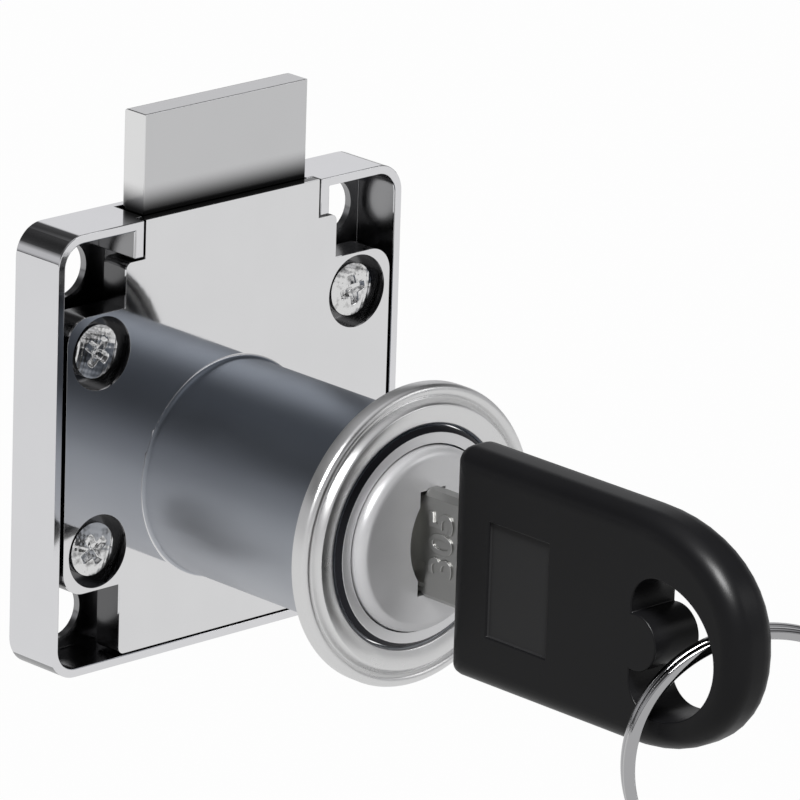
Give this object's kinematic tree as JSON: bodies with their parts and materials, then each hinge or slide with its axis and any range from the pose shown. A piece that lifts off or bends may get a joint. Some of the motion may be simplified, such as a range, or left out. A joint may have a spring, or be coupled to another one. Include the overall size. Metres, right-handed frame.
{
  "type": "drawer lock",
  "caption": "Square surface-mounted drawer lock: a keyed plug in a round barrel turns to slide a flat bolt out of a tray-shaped case; key, key ring and trim ring included.",
  "frame": {"origin": "on the barrel's axis, in the plane of the case's open rim, which meets the drawer front", "axes": "+Z along the bolt as it is thrown, -Y along the barrel towards the key, +X across the case"},
  "size_m": [0.04, 0.0744, 0.0561],
  "materials": {
    "case_chrome": "mirror-bright plated zinc",
    "housing_chrome": "mirror-bright plated zinc, darker on the barrel",
    "screw_nickel": "bright nickel plate, a little scuffed in the cross",
    "bolt_chrome": "bright plated, lightly brushed along its length",
    "plug_zinc": "plain cast zinc",
    "cap_satin": "satin stainless cap",
    "wafer_brass": "stamped brass",
    "spring_steel": "drawn spring wire",
    "trim_satin": "satin pressed steel",
    "key_nickel": "nickel-plated brass, matt from handling",
    "head_plastic": "satin black moulded plastic",
    "ring_chrome": "bright plated spring wire"
  },
  "bodies": {
    "lock_case": {"case": "case_chrome", "cylinder_housing": "housing_chrome", "cover_screws": "screw_nickel"},
    "bolt": {"bolt": "bolt_chrome"},
    "plug": {"plug": "plug_zinc", "plug_cap": "cap_satin", "wafer_1": "wafer_brass", "wafer_2": "wafer_brass", "wafer_3": "wafer_brass", "wafer_4": "wafer_brass", "wafer_5": "wafer_brass", "wafer_spring_1": "spring_steel", "wafer_spring_2": "spring_steel", "wafer_spring_3": "spring_steel", "wafer_spring_4": "spring_steel", "wafer_spring_5": "spring_steel", "retaining_wafer": "wafer_brass", "retaining_spring": "spring_steel"},
    "trim_ring": {"trim_ring": "trim_satin"},
    "key": {"key_blade": "key_nickel", "key_head": "head_plastic"},
    "key_ring": {"key_ring": "ring_chrome"}
  },
  "joints": [
    {"name": "plug_turn", "type": "hinge", "parent": "lock_case", "child": "plug", "pos_m": [0, 0, 0], "axis": [0, 1, 0], "range_deg": [0, 180]},
    {"name": "bolt_slide", "type": "slide", "parent": "lock_case", "child": "bolt", "axis": [0, 0, 1], "range_m": [-0.009, 0]},
    {"name": "trim_ring_slide", "type": "slide", "parent": "lock_case", "child": "trim_ring", "axis": [0, 1, 0], "range_m": [0, 0.0219]},
    {"name": "key_slide", "type": "slide", "parent": "plug", "child": "key", "axis": [0, -1, 0], "range_m": [0, 0.024]},
    {"name": "key_ring_swing", "type": "hinge", "parent": "key", "child": "key_ring", "pos_m": [0, -0.05795, -0.0012], "axis": [0.829, -0.5592, 0], "range_deg": [-40, 0]}
  ],
  "couplings": [
    {"joint": "bolt_slide", "follows": "plug_turn", "m_per_rad": -0.0028647}
  ]
}
